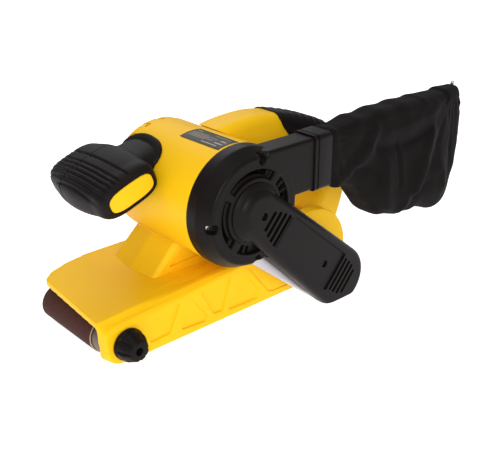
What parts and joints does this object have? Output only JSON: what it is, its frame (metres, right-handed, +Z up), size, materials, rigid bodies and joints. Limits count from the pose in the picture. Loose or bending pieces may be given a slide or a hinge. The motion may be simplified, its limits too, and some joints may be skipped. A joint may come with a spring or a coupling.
{
  "type": "belt sander",
  "caption": "Handheld belt sander with a transverse motor barrel, front paddle handle, rear D-handle, side belt drive and cloth dust bag.",
  "frame": {"origin": "middle of the tool's width and of the sanding face's length, on the sanding face (the work surface)", "axes": "+X towards the tool's left (drive side), +Y towards the rear handle and dust bag, +Z up"},
  "size_m": [0.1612, 0.404, 0.1778],
  "materials": {
    "yellow_shell": "fine satin grain",
    "insert": "satin",
    "black_shell": "satin grain",
    "rubber_grip": "matt",
    "cast_alloy": "as cast",
    "steel": "ground",
    "laminations": "dark, varnished",
    "copper": "bright",
    "carbon": "matt",
    "abrasive": "coarse brown grit on cloth",
    "cork_pad": "matt",
    "bag_cloth": "thin woven cloth",
    "label_print": "printed foil"
  },
  "bodies": {
    "housing": {"arm_screw_lower": "steel", "arm_screw_upper": "steel", "base_cover": "yellow_shell", "base_frame": "cast_alloy", "bearing_plate": "black_shell", "belt_cover": "black_shell", "brush_front": "carbon", "brush_holder_front": "copper", "brush_holder_rear": "copper", "brush_rear": "carbon", "cord_gland": "rubber_grip", "drive_belt": "rubber_grip", "drive_case": "cast_alloy", "end_cap": "yellow_shell", "fan_housing": "black_shell", "fan_screw_1": "steel", "fan_screw_2": "steel", "fan_screw_3": "steel", "front_handle_body": "black_shell", "front_handle_grip": "rubber_grip", "front_handle_stud": "steel", "handle_grip": "rubber_grip", "handle_insert_left": "insert", "handle_insert_right": "insert", "handle_left": "yellow_shell", "handle_right": "yellow_shell", "lever_pin": "steel", "motor_bearing_left": "steel", "motor_bearing_right": "steel", "motor_housing": "yellow_shell", "platen_pad": "cork_pad", "platen_plate": "steel", "rating_label": "label_print", "sanding_belt": "abrasive", "shaft_bearing_inner": "steel", "shaft_bearing_outer": "steel", "stator": "laminations", "switch_body": "black_shell"},
    "rotor": {"motor_shaft": "steel", "armature_core": "laminations", "commutator": "copper", "dust_fan": "black_shell", "drive_pulley": "laminations"},
    "drive_roller": {"drive_drum": "cast_alloy", "drum_sleeve": "rubber_grip", "drive_shaft": "steel", "driven_pulley": "laminations"},
    "yoke": {"idler_yoke": "steel", "tension_spring": "steel"},
    "axle": {"idler_axle": "steel"},
    "front_roller": {"front_roller": "steel"},
    "lever": {"tension_lever": "black_shell"},
    "knob": {"tracking_knob": "black_shell", "tracking_screw": "steel"},
    "trigger": {"trigger": "black_shell"},
    "lock": {"lock_button": "black_shell"},
    "bag": {"bag_collar": "black_shell", "dust_bag": "bag_cloth"},
    "zip": {"zip_pull": "steel"}
  },
  "joints": [
    {"name": "motor_spin", "type": "hinge", "parent": "housing", "child": "rotor", "pos_m": [0, 0, 0.1125], "axis": [1, 0, 0], "continuous": true},
    {"name": "drive_roller_spin", "type": "hinge", "parent": "housing", "child": "drive_roller", "pos_m": [0, 0.1035, 0.02], "axis": [1, 0, 0], "continuous": true},
    {"name": "belt_tension", "type": "slide", "parent": "housing", "child": "yoke", "axis": [0, 1, 0], "range_m": [0, 0.008]},
    {"name": "tension_lever", "type": "hinge", "parent": "housing", "child": "lever", "pos_m": [-0.0245, -0.044, 0.02], "axis": [0, 0, 1], "range_deg": [0, 90]},
    {"name": "tracking_knob", "type": "hinge", "parent": "housing", "child": "knob", "pos_m": [0.074, -0.1015, 0.02], "axis": [1, 0, 0], "range_deg": [0, 270]},
    {"name": "axle_steer", "type": "hinge", "parent": "yoke", "child": "axle", "pos_m": [-0.03, -0.102, 0.016], "axis": [0, 0, 1], "range_deg": [0, 1.5]},
    {"name": "front_roller_spin", "type": "hinge", "parent": "axle", "child": "front_roller", "pos_m": [0, -0.102, 0.016], "axis": [1, 0, 0], "continuous": true},
    {"name": "trigger_press", "type": "slide", "parent": "housing", "child": "trigger", "axis": [0, 0, 1], "range_m": [0, 0.006], "stiffness_N_per_m": 700, "springref_m": -0.002},
    {"name": "lock_press", "type": "slide", "parent": "housing", "child": "lock", "axis": [1, 0, 0], "range_m": [0, 0.003], "stiffness_N_per_m": 400, "springref_m": -0.001},
    {"name": "bag_pull", "type": "slide", "parent": "housing", "child": "bag", "axis": [0, 1, 0], "range_m": [0, 0.03]},
    {"name": "zip_flap", "type": "hinge", "parent": "bag", "child": "zip", "pos_m": [0.097, 0.2664, 0.1634], "axis": [1, 0, 0], "range_deg": [-35, 60]}
  ],
  "couplings": [
    {"joint": "drive_roller_spin", "follows": "motor_spin", "ratio": 0.3913},
    {"joint": "front_roller_spin", "follows": "motor_spin", "ratio": 0.48913},
    {"joint": "tension_lever", "follows": "belt_tension", "rad_per_m": 196.34},
    {"joint": "axle_steer", "follows": "tracking_knob", "ratio": 0.005555}
  ]
}
